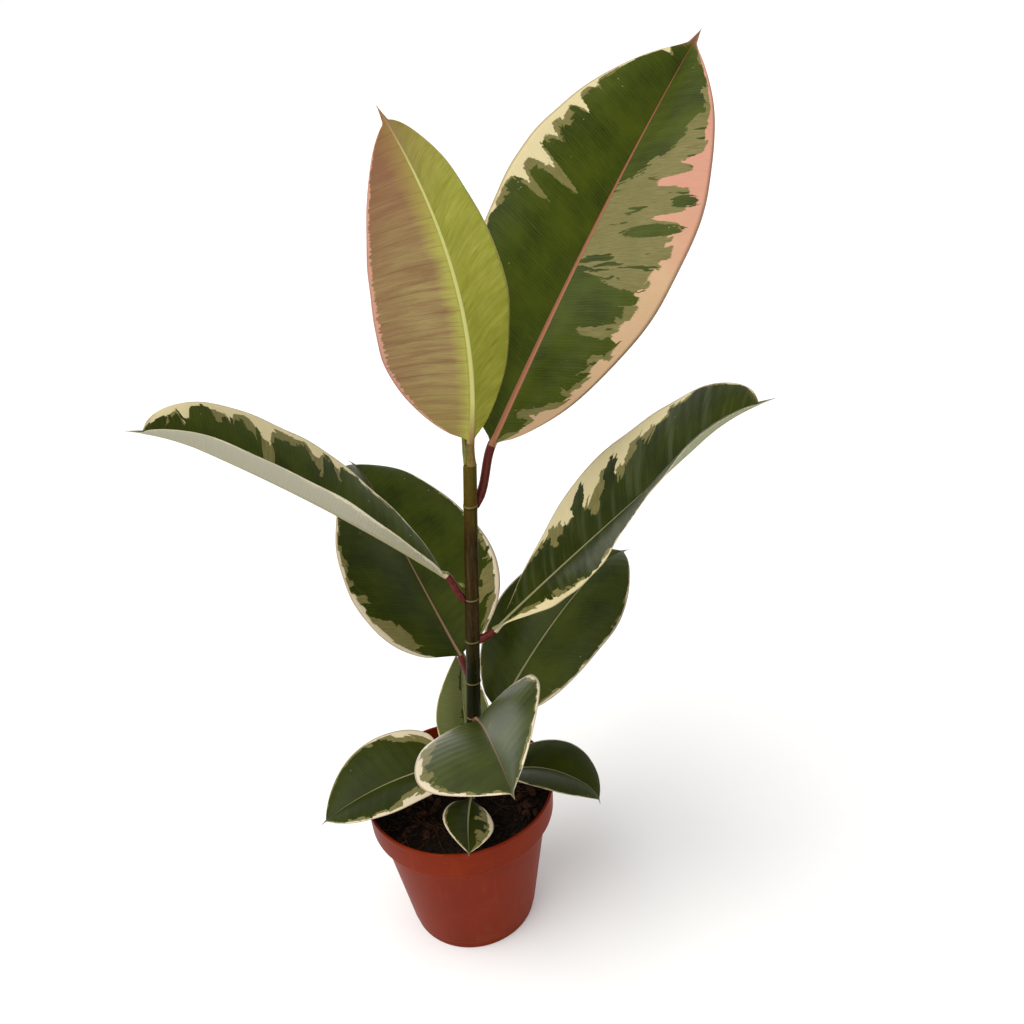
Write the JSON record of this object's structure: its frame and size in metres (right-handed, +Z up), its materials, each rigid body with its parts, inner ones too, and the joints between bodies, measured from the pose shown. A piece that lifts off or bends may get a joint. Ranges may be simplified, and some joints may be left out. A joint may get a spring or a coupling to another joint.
{
  "type": "potted rubber plant",
  "caption": "Young variegated rubber plant with broad drip-tipped leaves on a single leaning stem, growing in potting mix in a round tapered plastic nursery pot with a rim band.",
  "frame": {"origin": "centre of the pot's flat underside", "axes": "+Z up along the pot's axis, the longest extent; +X is the side that the stem leans to"},
  "size_m": [0.3277, 0.2373, 0.5235],
  "materials": {
    "pot_plastic": "satin",
    "potting_mix": "matte",
    "stem_bark": "satin",
    "bud_sheath": "satin",
    "leaf": "satin",
    "young_leaf": "satin"
  },
  "bodies": {
    "root": {"pot": "pot_plastic", "potting_mix": "potting_mix", "stem": "stem_bark", "terminal_bud": "bud_sheath", "side_bud": "bud_sheath", "leaf_top_left": "young_leaf", "leaf_top_right": "leaf", "leaf_mid_left": "leaf", "leaf_mid_right": "leaf", "leaf_back_left": "leaf", "leaf_lower_right": "leaf", "leaf_back_small": "leaf", "leaf_front": "leaf", "leaf_low_left": "leaf", "leaf_low_right": "leaf", "leaf_small_front": "leaf", "leaf_small_under": "leaf"}
  },
  "joints": []
}
